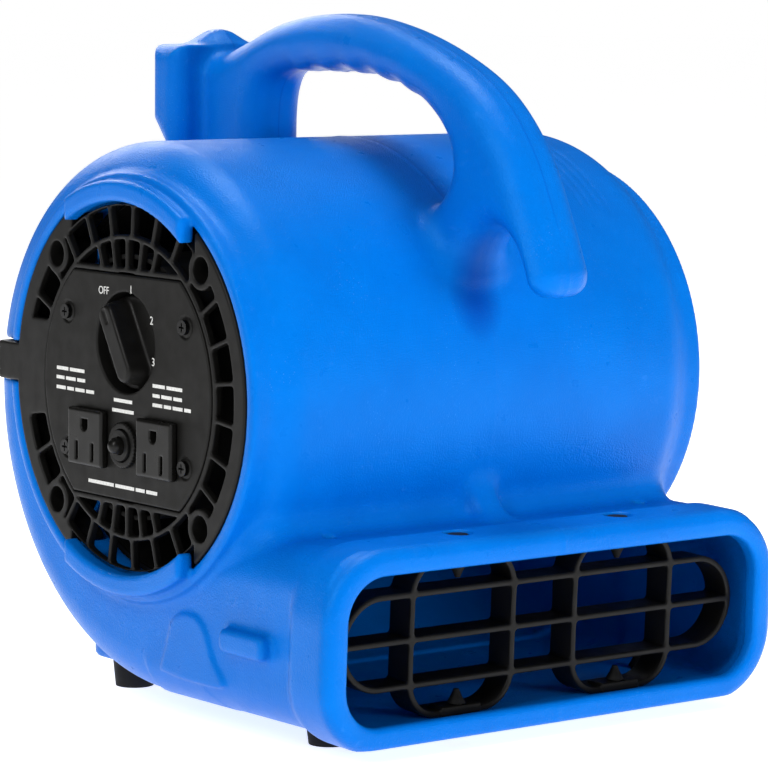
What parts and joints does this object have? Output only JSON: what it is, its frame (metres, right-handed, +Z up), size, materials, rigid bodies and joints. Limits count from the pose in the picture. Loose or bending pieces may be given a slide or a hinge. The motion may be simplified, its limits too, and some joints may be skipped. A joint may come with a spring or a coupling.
{
  "type": "air mover",
  "caption": "Compact carpet-drying air mover with a rounded scroll housing, carrying handle, front air nozzle and a round side control panel with outlets.",
  "frame": {"origin": "centre of the footprint on the floor that the rubber feet stand on", "axes": "+X across, away from the control panel side; +Y to the back, away from the nozzle; +Z up"},
  "size_m": [0.2733, 0.2759, 0.3171],
  "materials": {
    "blue_shell": "low sheen, slightly mottled moulded polyethylene",
    "black_plastic": "fine grain",
    "panel_plastic": "fine sand texture",
    "socket_plastic": "semi-gloss",
    "knob_plastic": "soft sheen",
    "black_rubber": "matt",
    "zinc_steel": "zinc plated",
    "black_steel": "black oxide",
    "bright_steel": "ground",
    "core_steel": "laminated",
    "cast_aluminium": "die cast",
    "copper": "enamelled",
    "grey_plastic": "smooth",
    "wheel_plastic": "smooth"
  },
  "bodies": {
    "frame": {"housing": "blue_shell", "inlet_cone": "black_plastic", "left_intake_grille": "black_plastic", "cord_gland": "black_rubber", "right_intake_grille": "black_plastic", "left_grille_bolts": "zinc_steel", "left_grille_nuts": "zinc_steel", "right_grille_bolts": "zinc_steel", "right_grille_nuts": "zinc_steel", "control_panel": "panel_plastic", "panel_screws": "black_steel", "outlet_rear": "socket_plastic", "outlet_front": "socket_plastic", "rotary_switch": "black_plastic", "breaker_nut": "socket_plastic", "breaker_body": "black_plastic", "control_box": "black_plastic", "run_capacitor": "grey_plastic", "motor_end_bell_left": "cast_aluminium", "bearing_left": "bright_steel", "motor_end_bell_right": "cast_aluminium", "bearing_right": "bright_steel", "motor_shell": "zinc_steel", "stator_core": "core_steel", "stator_windings": "copper", "motor_bracket": "zinc_steel", "motor_screws": "zinc_steel", "motor_lead": "black_rubber", "outlet_grille": "black_plastic", "grille_rivets_bottom": "black_plastic", "grille_rivets_top": "black_plastic", "front_feet": "black_rubber", "rear_feet": "black_rubber", "foot_rivets": "black_plastic"},
    "rotor": {"rotor_core": "core_steel", "motor_shaft": "bright_steel", "impeller_wheel": "wheel_plastic", "impeller_hub": "cast_aluminium", "hub_set_screw": "black_steel"},
    "knob": {"speed_knob": "knob_plastic", "switch_shaft": "zinc_steel"},
    "reset": {"breaker_button": "knob_plastic"}
  },
  "joints": [
    {"name": "impeller_spin", "type": "hinge", "parent": "frame", "child": "rotor", "pos_m": [0.0036, 0.0136, 0.15], "axis": [1, 0, 0], "continuous": true},
    {"name": "knob_turn", "type": "hinge", "parent": "frame", "child": "knob", "pos_m": [-0.1214, 0.0136, 0.1704], "axis": [1, 0, 0], "range_deg": [0, 135]},
    {"name": "breaker_reset", "type": "slide", "parent": "frame", "child": "reset", "axis": [-1, 0, 0], "range_m": [0, 0.0035]}
  ]
}
